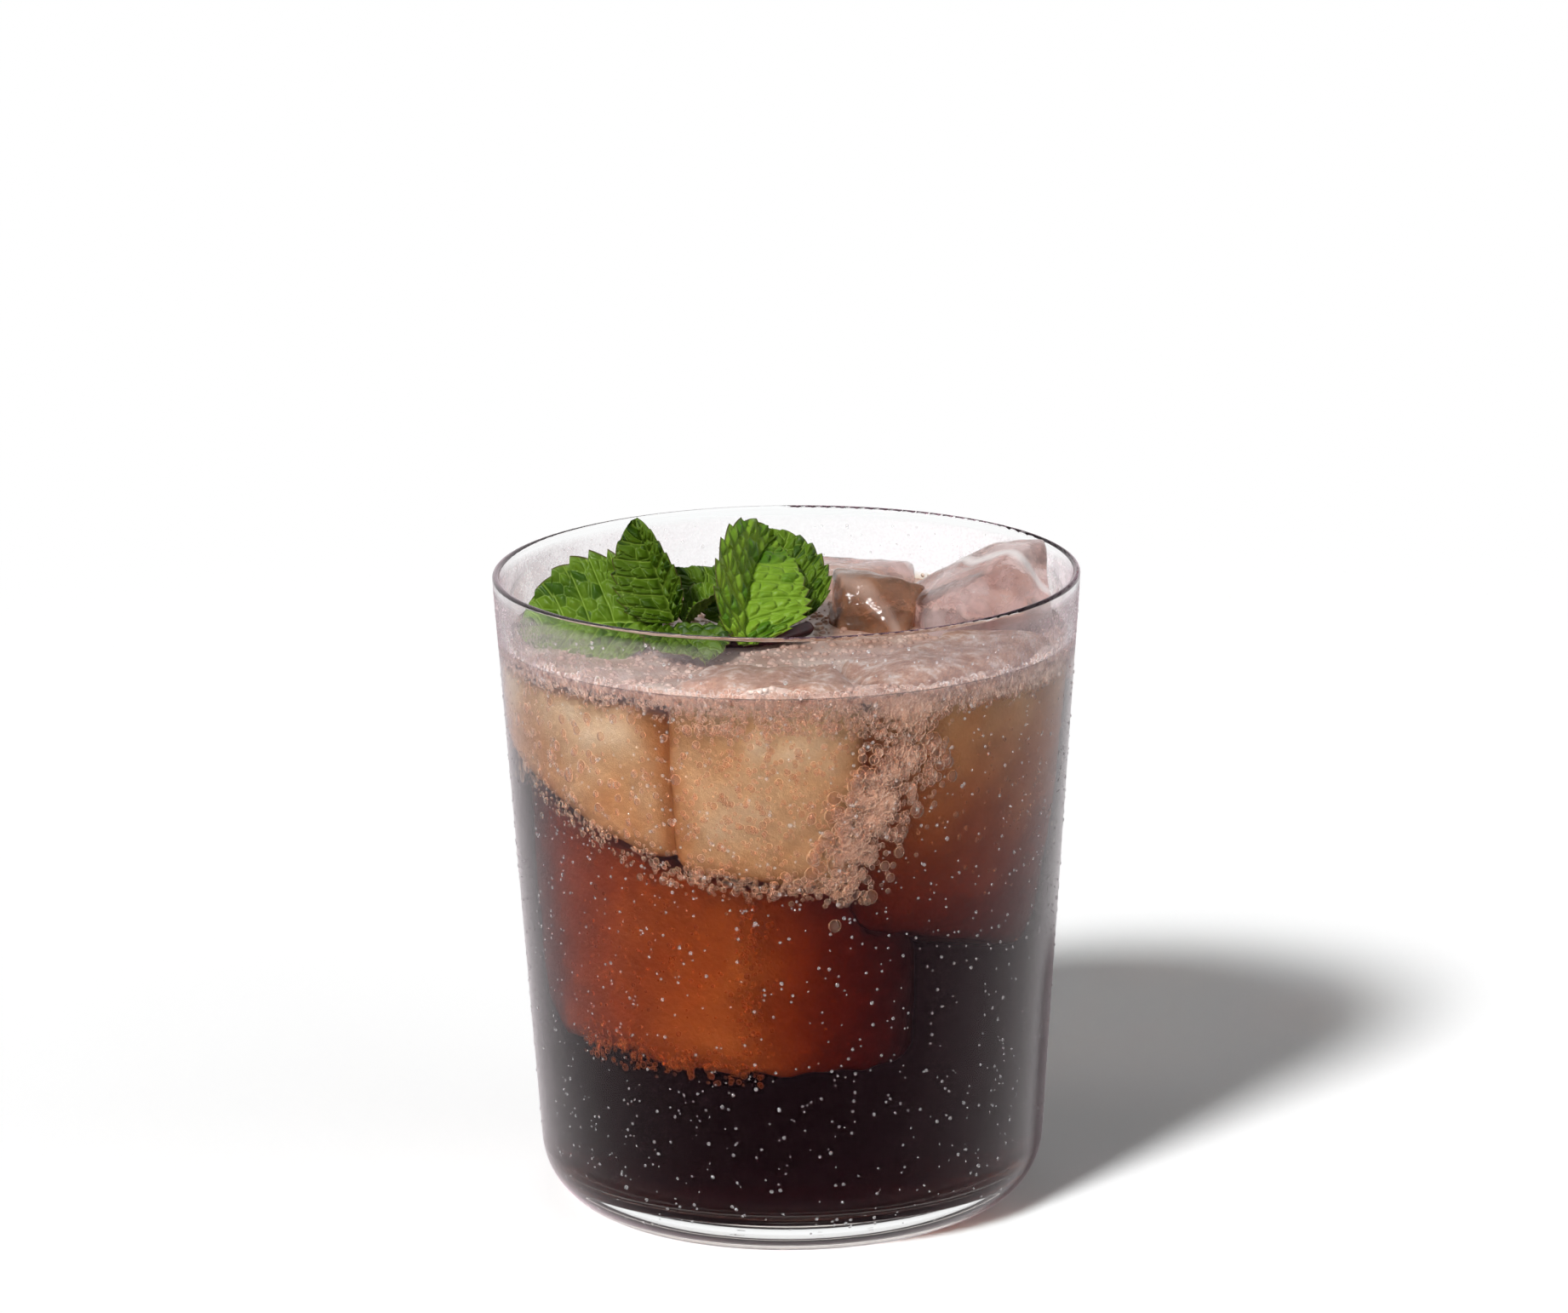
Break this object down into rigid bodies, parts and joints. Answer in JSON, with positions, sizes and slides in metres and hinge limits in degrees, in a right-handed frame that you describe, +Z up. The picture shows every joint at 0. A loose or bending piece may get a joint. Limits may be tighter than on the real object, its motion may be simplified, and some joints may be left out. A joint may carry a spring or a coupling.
{
  "type": "sparkling espresso in a glass",
  "caption": "Straight-sided tapered tumbler filled with a dark sparkling coffee drink, with ice standing out of it and a sprig of mint lying on top.",
  "frame": {"origin": "middle of the glass's foot, on the surface that it stands on", "axes": "+Z up along the glass's axis, -Y towards the viewer, +X to the viewer's right"},
  "size_m": [0.086, 0.0859, 0.1038],
  "materials": {
    "clear_glass": "clear soda-lime glass, fogged and beaded with fine droplets",
    "drink": "dark red-brown coffee, clear in thin layers, with fine bubbles",
    "ice": "clear ice with cloudy cracks, wet",
    "mint_leaf": "quilted green leaf, waxy sheen",
    "mint_stem": "dark maroon stem"
  },
  "bodies": {
    "root": {"glass": "clear_glass", "drink": "drink", "ice_right": "ice", "ice_middle": "ice", "ice_back": "ice", "ice_front_middle": "ice", "ice_front_right": "ice", "mint_stem": "mint_stem", "mint_leaf_left": "mint_leaf", "mint_leaf_upright": "mint_leaf", "mint_leaf_behind": "mint_leaf", "mint_leaf_inner": "mint_leaf", "mint_leaf_front": "mint_leaf", "mint_leaf_tall": "mint_leaf", "mint_leaf_right": "mint_leaf"}
  },
  "joints": []
}
